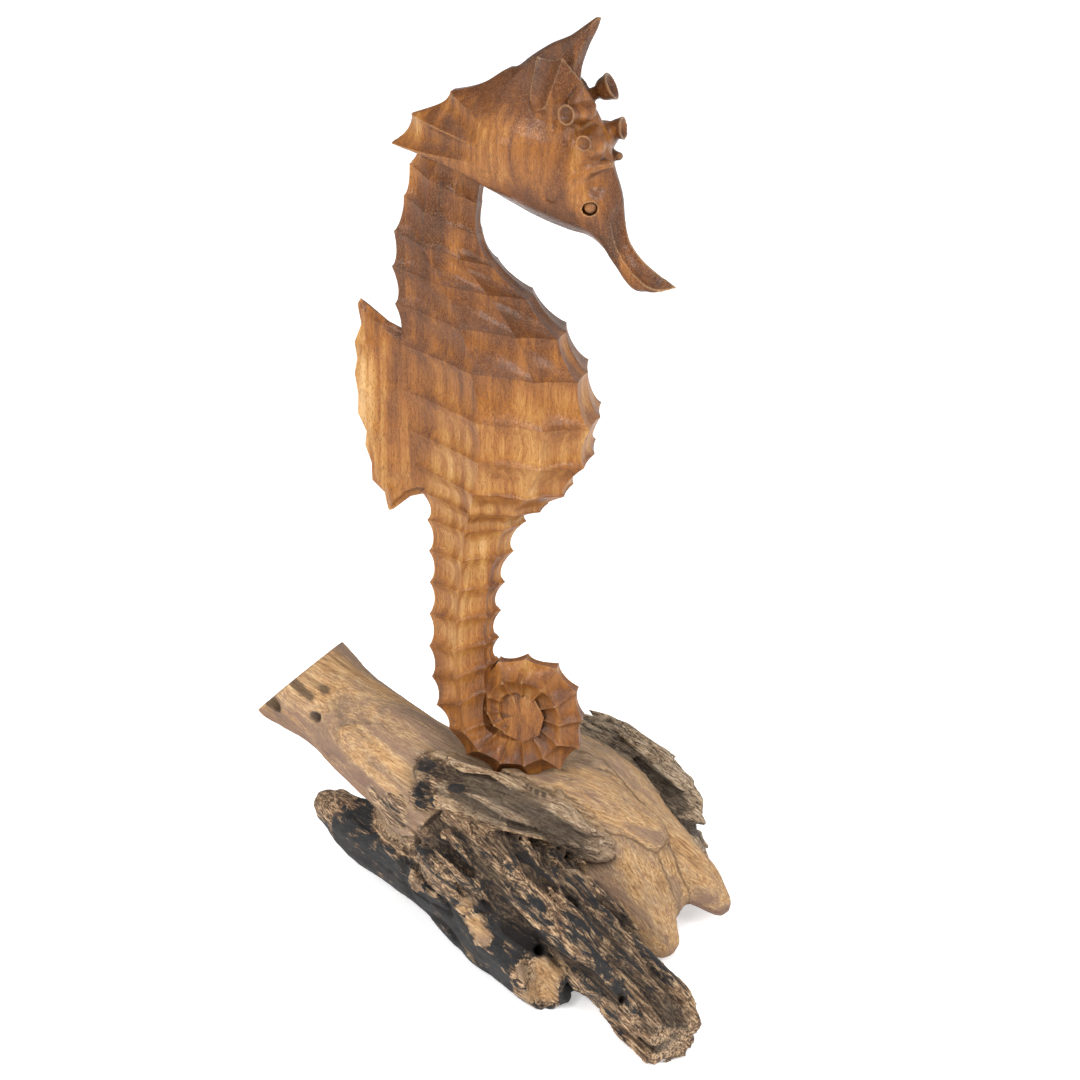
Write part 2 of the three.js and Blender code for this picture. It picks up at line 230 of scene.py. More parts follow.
class Block:
    """A block of space in cells, in which shapes are distances: below 0 inside and above 0 outside."""

    def __init__(self, low, high, cell):
        self.low, self.cell = np.asarray(low, float), cell
        self.shape = tuple(np.ceil((np.asarray(high) - self.low) / cell).astype(int) + 1)
        axes = [(start + cell * np.arange(n)).astype(np.float32) for start, n in zip(self.low, self.shape)]
        self.x, self.y, self.z = np.meshgrid(*axes, indexing="ij", sparse=True)

    def points(self):
        """The places of all its cells, as an array of x, y and z."""
        return np.stack(np.broadcast_arrays(self.x, self.y, self.z), axis=-1)

    def of_mesh(self, points, triangles, quads, band=8):
        """The distance to a closed mesh, kept within band cells."""
        local = ((np.asarray(points) - self.low) / self.cell).astype(np.float32)
        level = vdb.FloatGrid.createLevelSetFromPolygons(
            local, triangles=triangles.astype(np.uint32), quads=quads.astype(np.uint32),
            halfWidth=float(band))
        out = np.full(self.shape, level.background, np.float32)
        level.copyToArray(out)
        return out * self.cell

    def cone(self, start, end, r_start, r_end):
        """A round rod whose radius changes evenly."""
        a, b = np.asarray(start, float), np.asarray(end, float)
        d = b - a
        t = ((self.x - a[0]) * d[0] + (self.y - a[1]) * d[1] + (self.z - a[2]) * d[2]) / (d @ d)
        t = np.clip(t, 0, 1)
        far = np.sqrt((self.x - a[0] - t * d[0])**2 + (self.y - a[1] - t * d[1])**2
                      + (self.z - a[2] - t * d[2])**2)
        return far - (r_start + (r_end - r_start) * t)

    def ball(self, centre, radii):
        """An ellipsoid along the axes."""
        radii = np.broadcast_to(np.asarray(radii, float), 3)
        q = [(axis - c) / r for axis, c, r in zip((self.x, self.y, self.z), centre, radii)]
        return (np.sqrt(q[0]**2 + q[1]**2 + q[2]**2) - 1) * radii.min()

    def hull(self, corners):
        """A solid with flat faces round its corner points."""
        corners = np.asarray(corners, float)
        planes = []
        for i in range(len(corners)):
            for j in range(i + 1, len(corners)):
                for k in range(j + 1, len(corners)):
                    n = np.cross(corners[j] - corners[i], corners[k] - corners[i])
                    if np.linalg.norm(n) < 1e-6:
                        continue
                    n = n / np.linalg.norm(n)
                    side = (corners - corners[i]) @ n
                    if side.max() <= 1e-6 or side.min() >= -1e-6:
                        n = n if side.max() <= 1e-6 else -n
                        planes.append((n, n @ corners[i]))
        return np.maximum.reduce([n[0] * self.x + n[1] * self.y + n[2] * self.z - d for n, d in planes])

    def beyond(self, point, normal):
        """The distance past a plane through that point."""
        return sum(n * (axis - p) for n, axis, p in zip(normal, (self.x, self.y, self.z), point))

    def mesh(self, distance):
        """The points, triangles and quads of the surface where the distance is 0."""
        grid = vdb.FloatGrid(float(np.abs(distance).max()))
        grid.copyFromArray(np.ascontiguousarray(distance, np.float32))
        points, triangles, quads = grid.convertToPolygons(isovalue=0.0, adaptivity=0.0)
        return points * self.cell + self.low, triangles[:, ::-1], quads[:, ::-1]


def union(a, b, k=0.0):
    """Both shapes, with a fillet of about k."""
    if k <= 0:
        return np.minimum(a, b)
    h = np.maximum(k - np.abs(a - b), 0) / k
    return np.minimum(a, b) - h * h * k / 4


def cut(a, b, k=0.0):
    """Shape a without shape b, with an edge rounded by about k."""
    return -union(-a, b, k)


# The body

def body_at(ring):
    """The back point, belly point and half width at a ring number."""
    if ring <= 16:
        _, back_x, back_z, belly_x, belly_z, half = row_at(BODY_RINGS, ring)
        return np.array([back_x, back_z]), np.array([belly_x, belly_z]), half
    if ring < 17:
        above, below = body_at(16), body_at(17)
        return tuple(mix(a, b, ring - 16) for a, b in zip(above, below))
    _, degrees, outer, inner, half = row_at(CURL_RINGS, ring)
    way = np.array([math.cos(math.radians(degrees)), math.sin(math.radians(degrees))])
    centre = np.array([CURL_X, CURL_Z])
    return centre + outer * way, centre + inner * way, half


def section_at(ring):
    """Half of the cross-section at a ring number."""
    to_trunk, to_tail = ease(ring, 1, 5), ease(ring, 8, 11)
    return mix(mix(np.array(SECTION_NECK), SECTION_TRUNK, to_trunk), SECTION_TAIL, to_tail)


def scoop_at(ring):
    """How far the scoop between two rings has sunk: 0 on a ring, 1 at its deepest."""
    along = ring - math.floor(ring)
    return math.hypot(0.12, min(1, 2.1 * along**0.8 * (1 - along)**0.6))


def body_ring(ring, grow=0.0):
    """The points of one cross-section, starting in the middle of the back and going down the -Y side."""
    back, belly, half = body_at(ring)
    depth = np.linalg.norm(belly - back)
    sink = scoop_at(ring) * min(MOST_SCOOP, RING_SCOOP * (half + depth / 2))
    sink *= mix(0.6, 1, ease(ring, 0.5, 4))
    sink *= mix(1, CURL_SCOOP, ease(ring, 17, 19))

    def ridge(share, width):
        """A corner of the section, sunk by the scoop; the inner side of the curl is nearly smooth."""
        fall = sink * (BELLY_SCOOP * mix(0.2, 1, ease(ring, 1, 4)) if share > 0.9 else 1)
        fall *= 1 - 0.85 * ease(ring, 17, 19) * (share > 0.8)
        t = mix(share, 0.5, 2 * (fall - grow) / depth)
        y = width * half + math.copysign(1, width) * (grow - SIDE_SCOOP * sink) * min(1, abs(width) * 2)
        return np.array([mix(back[0], belly[0], t), y if width else 0.0, mix(back[1], belly[1], t)])

    near = [ridge(share, -width) for share, width in section_at(ring)]
    far = [p * (1, -1, 1) for p in near]
    keel = ridge(1, 0)
    corners = [far[0], *near, keel, *far[:0:-1]]
    columns = PANEL_COLUMNS + PANEL_COLUMNS[:0:-1]
    middle = np.mean(corners, axis=0)
    along = ring - math.floor(ring)
    points = []
    for i, count in enumerate(columns):
        a, b = corners[i], corners[(i + 1) % len(corners)]
        width = np.linalg.norm(b - a)
        hollow = min(MOST_PANEL_SCOOP, PANEL_SCOOP * width) * mix(0.45, 1, math.sin(math.pi * along))
        flat_axis = np.array([belly[0] - back[0], 0, belly[1] - back[1]]) / depth
        edge = (b - a) / width
        inward = np.cross(edge, np.cross(flat_axis, (0, 1, 0)))
        inward *= math.copysign(1, inward @ (middle - (a + b) / 2))
        for step in range(count):
            v = step / count
            points.append(mix(a, b, v) + inward * hollow * 4 * v * (1 - v))
    return points


def body_mesh(first, last, rows=RING_ROWS, grow=0.0):
    """The body between two rings, its sections grown by a distance."""
    stations = np.arange(first * rows, last * rows + 1) / rows
    return loft([body_ring(s, grow) for s in stations])


def heart_mesh():
    """The wood in the eye of the curl: deep at its upper left and rising towards its lower right."""
    turns = np.radians(np.arange(10, 370, 45))
    x, z = CURL_X + CURL_HEART * np.cos(turns), CURL_Z + CURL_HEART * np.sin(turns)
    y = 4.5 + 3.9 * np.cos(turns + math.radians(35))
    return loft([np.column_stack([x, -y, z]), np.column_stack([x, y, z])])


# The back fin: its outer edge from the top point down, as (x, z)
FIN_EDGE = [
    (-64, 330.5), (-65.5, 328), (-64, 318), (-67.5, 309), (-66.5, 301), (-68, 293), (-66.5, 283),
    (-67, 273), (-63, 264), (-64, 257), (-61, 248), (-61, 239), (-55, 233), (-53.5, 223.5),
]
FIN_TOP = [(-36, 312), (-45, 315.5), (-51, 318.5), (-56, 322.5), (-60, 327), (-64, 330.5)]
FIN_BOTTOM = [(-30, 236), (-38, 235.5), (-44, 232.5), (-48, 227.5), (-51, 223.5), (-53.5, 222.5)]
FIN_RIBS = np.array([330, 311, 288, 268, 250, 236, 222])  # their heights where they leave the body


def along_line(corners, shares):
    """Points at shares of the way along a line of corners."""
    corners = np.asarray(corners, float)
    run = np.concatenate([[0], np.cumsum(np.linalg.norm(np.diff(corners, axis=0), axis=1))])
    return np.column_stack([np.interp(np.asarray(shares) * run[-1], run, corners[:, i]) for i in (0, 1)])


def fin_mesh():
    """A thin plate with shallow ribs that run on from the rings, and a bevelled edge."""
    down, out = np.linspace(0, 1, 150), np.linspace(0, 1, 30)
    edge, top, bottom = along_line(FIN_EDGE, down), along_line(FIN_TOP, out), along_line(FIN_BOTTOM, out)
    root = along_line([top[0], bottom[0]], down)
    a, b = out[None, :, None], down[:, None, None]
    flat = mix(root[:, None], edge[:, None], a) + mix(top[None], bottom[None], b)
    flat = flat - mix(mix(top[0], top[-1], a), mix(bottom[0], bottom[-1], a), b)
    x, z = flat[..., 0], flat[..., 1]
    gaps = np.abs((z + 5 * a[..., 0])[..., None] - FIN_RIBS).min(axis=-1)
    hollow = ease(gaps, 0, 8)
    half = mix(4.6, 2.6, ease(a[..., 0], 0.2, 0.8)) - hollow * ease(a[..., 0], 0.2, 0.45)
    half = half + 0.5 * ease(a[..., 0], 0.72, 0.86)
    half = half * mix(1, 0.3, ease(a[..., 0], 0.87, 1))
    half = half * mix(0.35, 1, ease(np.minimum(b, 1 - b)[..., 0], 0, 0.04))
    near = np.stack([x, -half, z], axis=-1)
    far = near[:, ::-1] * (1, -1, 1)
    return loft(np.concatenate([near, far], axis=1))


# The head, in its own plane before it turns: upper edge (x, z), lower edge (x, z), half width
HEAD_SECTIONS = [
    [0, -49.5, 405, -49, 403, 1],
    [1, -38.5, 419, -37, 402, 7],
    [2, -22, 429.5, -20, 398, 13],
    [3, -7, 437, -3, 392, 17],
    [4, 6, 443, 9, 384, 20],
    [5, 20, 445, 19, 379, 21.5],
    [6, 36, 441, 30, 375, 20],
    [7, 48, 428, 39, 372.5, 17],
    [8, 54, 414, 45, 371.5, 14.5],
    [9, 57.5, 402, 50, 369, 12.5],
    [10, 61, 391, 54, 365.5, 10],
    [11, 62.5, 379, 57, 361, 7.5],
    [12, 65, 370, 60, 357, 6.3],
    [13, 71, 362, 63.5, 352, 6],
    [14, 79, 356, 68, 348.5, 6.5],
    [15, 87, 351, 74, 348, 4],
]
SECTION_MANE = [[0, 0.2], [0.14, 0.5], [0.42, 0.8], [0.75, 0.96], [0.97, 1.02], [1.0, 0.6]]
SECTION_CHEEK = [[0, 0.12], [0.13, 0.46], [0.38, 0.94], [0.62, 0.98], [0.86, 0.66], [0.985, 0.24]]
SECTION_SNOUT = [[0, 0.12], [0.2, 0.56], [0.4, 1], [0.66, 1], [0.9, 0.7], [0.99, 0.3]]

EYE = (49.8, 387.8)
EYE_RADIUS = 3.1
EYE_OUT = 10.9  # how far the middle of an eye is from the head's plane

# The crest: front x, rear x, height and half width, upwards
CREST = [
    [38, 2, 430, 12], [39.4, 13, 445, 8.6], [42.6, 26, 455, 5.6], [44.9, 36, 460, 4.2],
    [47.6, 42.8, 465, 2.8], [50, 48, 469, 1.1],
]
FAR_LOBES_BACK, FAR_LOBES_DOWN = 6.5, 4.0  # how the lobes on the far side are shifted
# Each horn's foot, aim, length, and radius at its stem and its end
HORNS = [
    ((45.9, -14.2, 430.4), (-0.3, -0.94, 0.12), 10.3, 3.7, 4.6),
    ((40.3, 7.6, 430.9), (0.87, 0.1, 0.44), 14, 3.4, 6.4),
    ((50.2, -9.6, 418), (-0.08, -1, 0.05), 10, 3.2, 3.7),
    ((45.6, 8.4, 416.8), (0.9, 0.02, 0.14), 13, 3.2, 5.2),
]
MANE_CENTRE = (38, 403)
MANE_CORNERS = [100, 126, 154, 168.5, 179.5, 200]  # degrees from the cheek to the corners of the mane
MANE_DEPTH = 3.0
SNOUT_CUTTER, SNOUT_DEPTH = 8.0, 1.1  # radius of the round cutter for the snout's facets, and its depth
HEAD_CELL = 0.62
HEAD_TRIANGLES = 88000
SHARP_ANGLE = math.radians(26)


def head_loft():
    """The head without its crown, through many blended cross-sections."""
    sections = []
    sides = 26
    for h in np.linspace(0, 15, 150):
        _, top_x, top_z, low_x, low_z, half = row_at(HEAD_SECTIONS, h)
        shape = mix(np.array(SECTION_MANE), SECTION_CHEEK, ease(h, 2, 4.6))
        shape = mix(shape, np.array(SECTION_SNOUT), ease(h, 8.5, 11))
        keys = np.linspace(0, len(shape) - 1, sides)
        rows = np.column_stack([np.arange(len(shape)), shape])
        smooth = np.array([row_at(rows, k)[1:] for k in keys])
        flat = np.column_stack([np.interp(keys, rows[:, 0], rows[:, i]) for i in (1, 2)])
        smooth = mix(smooth, flat, ease(h, 9, 11))
        ring = []
        for share, width in smooth:
            x, z = mix(top_x, low_x, share), mix(top_z, low_z, share)
            ring.append((x, -width * half, z))
        near = np.array(ring)
        far = near[::-1] * (1, -1, 1)
        sections.append(np.concatenate([near, far]))
    return loft(np.array(sections))


def blade(rows):
    """A pointed blade that narrows upwards, with a narrow facet on each side of its front ridge."""
    rows = np.asarray(rows, float)
    keyed = np.column_stack([np.arange(len(rows)), rows])
    rings = []
    for key in np.linspace(0, len(rows) - 1, 40):
        _, front, rear, z, half = row_at(keyed, key)
        outline = [(front + min(2.0, 0.6 * half), 0.03), (front, 0.8), (mix(front, rear, 0.35), 1),
                   (mix(front, rear, 0.9), 0.6), (rear, 0.04)]
        near = [(x, -w * half, z) for x, w in outline]
        rings.append(near + [(x, -y, z) for x, y, z in near[::-1]])
    return loft(np.array(rings))


def carve_mane(block, distance):
    """Broad flutes that spread from the cheek to the corners of the mane."""
    x, z = block.x - MANE_CENTRE[0], block.z - MANE_CENTRE[1]
    angle = np.degrees(np.arctan2(z, x)) % 360
    reach = np.sqrt(x * x + z * z)
    sink = np.zeros_like(angle)
    for low, high in zip(MANE_CORNERS, MANE_CORNERS[1:]):
        f = np.clip((angle - low) / (high - low), 0, 1)
        sink += np.where((angle >= low) & (angle < high), np.sin(math.pi * f)**0.8, 0)
    return distance + sink * MANE_DEPTH * ease(reach, 34, 60) * ease(-block.x, -24, 4)


def horn(block, foot, aim, length, stem, end):
    """A horn with a waist and a hollowed flared end."""
    aim = np.asarray(aim, float) / np.linalg.norm(aim)
    foot = np.asarray(foot, float)

    def at(share):
        return foot + aim * length * share

    shape = block.cone(at(-0.4), at(0.45), stem * 1.25, stem * 0.78)
    shape = union(shape, block.cone(at(0.45), at(0.8), stem * 0.78, end * 0.84), 1.0)
    shape = union(shape, block.cone(at(0.8), at(0.96), end * 0.84, end), 0.4)
    shape = np.maximum(shape, block.beyond(at(1), aim))
    return cut(shape, block.ball(at(1) + aim * end * 0.62, end * 1.02), 0.5)


def crown(block):
    """The crest and, on each side, a broad lobe and a small pointed one before it."""
    shape = block.of_mesh(*blade(CREST))
    for side in (-1, 1):
        back, down = (FAR_LOBES_BACK, FAR_LOBES_DOWN) if side > 0 else (0, 0)

        def at(x, y, z):
            return (x - back, side * y, z - down)

        lobe = block.hull([
            at(23.6, 8, 451.9), at(37.4, 12, 453.2), at(44.8, 10, 443.5), at(40.2, 13.6, 435),
            at(30.2, 18.6, 433), at(25.5, 18, 433), at(21.9, 15, 436.4), at(22.6, 12, 443.8),
            at(36, 2, 443), at(24, 2, 443), at(40, 4, 424), at(26, 6, 424), at(35, 12, 422),
            at(27, 13, 424),
        ])
        lobe = cut(lobe, block.cone(at(27.8, 18.6, 463), at(21.4, 30, 432), 14, 14), 0.3)
        lobe = cut(lobe, block.cone(at(31, 2.5, 459.6), at(31, 22, 461.5), 7.2, 7.2), 0.4)
        spike = block.hull([
            at(44.9, 9.6, 443.6), at(46.6, 11, 441), at(48, 9.8, 437), at(43.4, 18.4, 433.2),
            at(40.8, 16, 435.6), at(51.4, 8.5, 433), at(47, 13.8, 430), at(43, 3, 440),
            at(47, 2, 424), at(38, 8, 424), at(44, 8, 420),
        ])
        shape = union(union(shape, lobe, 1.0), spike, 0.4)
    return shape


def over_snout(h, side):
    """The middle of a round cutter that would hollow the snout's upper facet there."""
    def corner(key, share, width):
        _, top_x, top_z, low_x, low_z, half = row_at(HEAD_SECTIONS, key)
        return np.array([mix(top_x, low_x, share), side * width * half, mix(top_z, low_z, share)])

    ridge, edge = corner(h, *SECTION_SNOUT[0]), corner(h, *SECTION_SNOUT[2])
    out = np.cross(edge - ridge, corner(h + 0.1, *SECTION_SNOUT[0]) - ridge)
    out *= math.copysign(1, out[2]) / np.linalg.norm(out)
    return (ridge + edge) / 2 + out * (SNOUT_CUTTER - SNOUT_DEPTH)


def head_field(block):
    """The whole head as distances in its own plane."""
    shape = carve_mane(block, block.of_mesh(*head_loft()))
    shape = union(shape, crown(block), 2.2)
    for side in (-1, 1):
        def at(x, y, z):
            return (x, side * y, z)

        # The pit behind the lobes, the valleys that run down from it, and the hollow over the eye
        shape = cut(shape, block.ball(at(29.4, 21.5, 428), (4.6, 5.2, 3.6)), 0.8)
        shape = cut(shape, block.cone(at(21.5, 17, 446), at(26.5, 24.5, 430), 3.4, 4.8), 2.5)
        shape = cut(shape, block.cone(at(35, 28.5, 424), at(47, 24.5, 421), 7.2, 7.4), 3)
        shape = cut(shape, block.ball(at(56.4, 20.1, 426), 12), 0.5)
        shape = cut(shape, block.ball(at(58, 17, 399), (10, 9.5, 8.5)), 1.6)
        # The brow, from the forehead back towards the cheek
        brow = union(block.cone(at(57, 6.5, 406.5), at(51, 11.5, 405.5), 1.9, 2.2),
                     block.cone(at(51, 11.5, 405.5), at(42, 15.6, 401), 2.2, 2.0), 1)
        brow = union(brow, block.cone(at(42, 15.6, 401), at(34, 16.6, 392), 2.0, 1.2), 1)
        shape = union(shape, brow, 2.6)
        # The mound under the lower horn
        shape = union(shape, block.ball(at(49.5, 9.5, 415), (6.5, 6.5, 6)), 4)
    for spec in HORNS:
        shape = union(shape, horn(block, *spec), 2.0)
    for side in (-1, 1):
        centre = (EYE[0], side * EYE_OUT, EYE[1])
        shape = cut(shape, block.ball(centre, EYE_RADIUS + 0.9), 0.6)
        shape = union(shape, block.ball((EYE[0] + 0.2, side * (EYE_OUT - 0.2), EYE[1]), EYE_RADIUS), 0)
        # The hollowed facet along the top of the snout
        line = [over_snout(h, side) for h in (10.3, 11, 11.7, 12.4, 13, 13.6, 14.2)]
        for a, b in zip(line, line[1:]):
            shape = cut(shape, block.cone(a, b, SNOUT_CUTTER, SNOUT_CUTTER), 0.2)
    # The mouth, hollowed from below behind the upper lip
    shape = cut(shape, block.cone((74, -6, 346), (74, 6, 346), 2.6, 2.6), 0.8)
    return shape


def head_mesh():
    """The head's surface, turned about the neck."""
    block = Block((-54, -34, 338), (94, 34, 474), HEAD_CELL)
    points, triangles, quads = block.mesh(head_field(block))
    turn = np.array(Matrix.Rotation(HEAD_TURN, 3, "Z"))
    pivot = np.array([NECK_PIVOT_X, 0, 0])
    return (points - pivot) @ turn.T + pivot, triangles, quads


def join(target, other):
    """Joins two closed meshes into one."""
    step = target.modifiers.new("join", "BOOLEAN")
    step.operation, step.object, step.solver = "UNION", other, "MANIFOLD"
    apply_modifiers(target)
    bpy.data.objects.remove(other)


def thin_out(piece, triangles):
    """Brings a mesh down to about that many triangles."""
    count = sum(len(f.vertices) - 2 for f in piece.data.polygons)
    if count > triangles:
        step = piece.modifiers.new("thin", "DECIMATE")
        step.ratio = triangles / count
        apply_modifiers(piece)


def make_seahorse():
    """The carved figure as one closed mesh."""
    figure = new_piece("seahorse_figure", *body_mesh(FIRST_RING, LAST_RING))
    head = new_piece("head", *head_mesh())
    thin_out(head, HEAD_TRIANGLES)
    fin = new_piece("fin", *fin_mesh())
    heart = new_piece("heart", *heart_mesh())
    for other in (fin, heart, head):
        join(figure, other)
    figure.data.set_sharp_from_angle(angle=SHARP_ANGLE)
    for polygon in figure.data.polygons:
        polygon.use_smooth = True
    paint_bends(figure)
    return figure


def paint_bends(piece):
    """Stores how sharply each point's surface bends, in 1/mm: above 0 on ridges, below 0 in grooves."""
    mesh = piece.data
    count = len(mesh.vertices)
    coords, normals = read(mesh.vertices, "co", 3) / MM, read(mesh.vertices, "normal", 3)
    edges = read(mesh.edges, "vertices", 2, np.int32)
    a, b = edges.T
    step = coords[b] - coords[a]
    length = np.maximum((step**2).sum(axis=1), 0.04)
    bend = np.clip(((normals[b] - normals[a]) * step).sum(axis=1) / length, -2, 2)
    shares = np.maximum(np.bincount(edges.ravel(), minlength=count), 1)
    value = (np.bincount(a, bend, count) + np.bincount(b, bend, count)) / shares
    around = np.bincount(a, value[b], count) + np.bincount(b, value[a], count)
    value = 0.5 * value + 0.5 * around / shares
    store(mesh, "bend", value)


# The root: limbs as rows of (x, y, z, radius), as in the solids
LIMBS = {
    "log": [
        (-112, 39, 108, 28), (-90, 27, 100, 23.5), (-69, 15, 90, 25), (-51, 8, 80, 27), (-30, 7, 66, 31),
        (-10, 25, 52, 34),
    ],
    "left_lobe": [
        (-96, 31, 36, 9), (-73, 15, 34, 16.5), (-49, 3, 32, 19.5), (-21, -17, 27, 21), (3, -41, 22, 20),
        (25, -64, 18, 17.5), (36, -76, 13, 12.5),
    ],
    "front_arm": [
        (-7, -17, 48, 32), (22, -35, 42, 27), (47, -54, 34, 22), (70, -73, 26, 19), (89, -93, 19, 17),
        (103, -111, 14, 13),
    ],
    "upper_spur": [(25, 33, 60, 27), (51, 34, 50, 22), (73, 23, 38, 17), (96, 10, 26, 13), (111, 6, 15, 7)],
    "spur_web": [(48, 22, 46, 22), (70, 8, 34, 18), (85, -5, 23, 11)],
    "lower_spur": [(26, 24, 56, 28), (50, 7, 42, 24), (67, -5, 28, 20), (86, -28, 13, 9)],
    "rear_lobe": [
        (14, 55, 52, 32), (35, 69, 54, 25), (54, 72, 47, 24), (69, 69, 34, 22), (79, 65, 19, 18),
        (83, 60, 6, 16),
    ],
    "rear_foot": [(-14, 34, 46, 28), (-30, 52, 30, 22), (-42, 64, 15, 18), (-47, 69, 2, 15)],
    "heart": [(-40, 8, 50, 24), (-12, 10, 50, 38), (22, 26, 48, 38), (44, 42, 44, 26)],
    "rim": [(-33, -9, 85, 12), (-6, -19, 80, 15), (20, -21, 72, 16), (40, -17, 61, 11), (54, -12, 51, 6)],
    "saddle": [(8, 0, 70, 20), (40, 9, 60, 21), (66, 8, 45, 16)],
}
LOG_CUT_POINT = np.array([-112.0, 39, 108])
LOG_CUT_NORMAL = np.array([-0.676, 0.215, 0.706])
ARM_BREAK_POINT = np.array([103.5, -112.0, 14.0])
ARM_BREAK_NORMAL = np.array([0.52, -0.85, 0.06])
WORN_FLAT = 2.0  # how much is worn off the feet

# How each limb is weathered: height of its ridges, and how black, worn smooth and layered it is
WEATHER = {
    "log": (0.8, 0.0, 1.0, 0.0),
    "left_lobe": (1.8, 1.0, 0.0, 0.3),
    "front_arm": (3.0, 0.8, 0.0, 1.1),
    "upper_spur": (0.8, 0.0, 1.0, 0.0),
    "spur_web": (0.8, 0.0, 1.0, 0.05),
    "lower_spur": (0.8, 0.0, 1.0, 0.05),
    "rear_lobe": (3.2, 0.15, 0.0, 1.0),
    "rear_foot": (2.4, 0.3, 0.2, 0.8),
    "heart": (1.4, 0.3, 0.5, 0.4),
    "rim": (4.4, 0.12, 0.3, 1.5),
    "saddle": (0.8, 0.0, 1.0, 0.1),
}
# Hollows, holes and clefts: from, to, and the radius at each end
HOLLOWS = [
    ((29, -79, 32), (40, -88, 8), 6, 7),
    ((33, -72, 30), (30, -60, 20), 3.2, 2),
    ((2, -53, 58), (18, -65, 37), 3.5, 4.5),
    ((18, -65, 37), (28, -70, 30), 4.5, 3),
    ((60, -57, 51), (74, -66, 44), 2.6, 3),
    ((74, -67, 44), (92, -76, 33), 3, 3.6),
    ((33, -42, 63), (50, -34, 57), 5.5, 4.6),
    ((77, -104, 30), (77, -95, 21), 2.4, 1.6),
    ((-123, 12, 106), (-112, 15, 102), 4.2, 2.4),
    ((-105, 12.5, 124.5), (-92, 9.5, 118), 2.0, 2.8),
    ((-108, 11, 118.5), (-99, 7, 113.5), 1.6, 2.0),
    ((-98, 14, 126), (-89, 13, 121.5), 1.6, 2.0),
    ((-36, -34, 62), (-16, -40, 58), 3.4, 4.2),
    ((24, -52, 60), (48, -60, 48), 2.4, 3.2),
    ((20, -34, 66), (44, -36, 52), 5, 6),
    ((0, -36, 91), (34, -31, 77), 8, 7),
    ((-97, 3, 105), (-90, 6, 102), 1.8, 1.5),
    ((55, 76, 72), (54, 72, 62), 4.5, 3),
    ((60, 60, 60), (84, 55, 42), 4, 5.5),
    ((86, 50, 32), (100, 62, 22), 3, 3.5),
    ((-20, -40, 62), (-6, -48, 52), 3.5, 4),
]
# Patches: centre, reach, and how black and worn smooth they are
PATCHES = [
    ((-31, -20, 92), 11, (0.8, 0)),
    ((-18, -27, 90), 10, (0.95, 0)),
    ((-34, -24, 78), 9, (0.95, 0)),
    ((-7, -53, 38), 5, (-0.6, 0.9)),
    ((-1, -59, 34), 5.5, (-0.6, 0.9)),
    ((4, -66, 30), 5, (-0.6, 0.9)),
    ((-37, -31, 34), 6, (0.35, 0)),
    ((-92, 27, 42), 18, (0.5, 0)),
    ((35, -80, 20), 13, (-0.5, 0.9)),
    ((40, -38, 58), 8, (0.2, 0.3)),
    ((25, -20, 92), 13, (0.25, 0.5)),
    ((101, -108, 18), 22, (0.35, 0)),
    ((-50, -18, 66), 13, (0.75, 0)),
    ((95, 45, 25), 12, (0.3, 0)),
]
ROOT_LOW, ROOT_HIGH = (-150, -135, -6), (138, 108, 142)
LIMB_CELL = 3.6
ROOT_CELL = 1.12
ROOT_TRIANGLES = 190000
LIMB_FILLET = 7.0
SMALL_HOLLOW = 4.6  # hollows that start smaller than this get painted shade


def limb_path(rows, steps=4):
    """Closely spaced points and radii along a limb."""
    keyed = np.column_stack([np.arange(len(rows)), rows])
    keys = np.linspace(0, len(rows) - 1, (len(rows) - 1) * steps + 1)
    return np.array([row_at(keyed, k)[1:] for k in keys])


def limb_distance(points, path):
    """The distance to a limb."""
    best = np.full(len(points), 1e9, np.float32)
    for a, b in zip(path[:-1], path[1:]):
        d = b[:3] - a[:3]
        t = np.clip((points - a[:3]) @ d / (d @ d), 0, 1)
        reach = np.linalg.norm(points - (a[:3] + t[:, None] * d), axis=1) - mix(a[3], b[3], t)
        np.minimum(best, reach, out=best)
    return best


def limb_fields():
    """The distances to each limb on a coarse block."""
    block = Block(ROOT_LOW, ROOT_HIGH, LIMB_CELL)
    grid = block.points().reshape(-1, 3)
    return [limb_distance(grid, limb_path(rows)).reshape(block.shape) for rows in LIMBS.values()]


def merged(distances):
    """The distance to all the limbs together, with fillets between them."""
    total = distances[0]
    for d in distances[1:]:
        total = union(total, d, LIMB_FILLET)
    return total


def sample(field, points):
    """The values of a coarse field at points, blended between its cells."""
    p = ((points - ROOT_LOW) / LIMB_CELL).astype(np.float32)
    cell = np.clip(np.floor(p).astype(np.int32), 0, np.array(field.shape) - 2)
    return between(field, cell, cell + 1, p - cell)


def grain_frames():
    """Each limb's grain direction and two directions across it."""
    frames = []
    for rows in LIMBS.values():
        axis = np.array(rows[-1][:3], float) - np.array(rows[0][:3], float)
        axis /= np.linalg.norm(axis)
        side = np.cross((0.0, 0, 1), axis)
        side /= np.linalg.norm(side)
        frames.append(np.array([axis, side, np.cross(axis, side)]))
    return np.array(frames)


def root_at(points, fields):
    """The distance to the plain limbs, places in the grain, and the looks, at points."""
    distances = np.array([sample(field, points) for field in fields])
    nearest = distances.argmin(axis=0)
    weights = np.exp(-np.clip(distances - distances.min(axis=0), 0, 40) / 2.0)
    looks = np.array(list(WEATHER.values())).T @ (weights / weights.sum(axis=0))
    local = np.empty_like(points, dtype=np.float32)
    for i, frame3 in enumerate(grain_frames()):
        on = nearest == i
        local[on] = points[on] @ frame3.T + 61.0 * i
    return merged(distances), local, looks


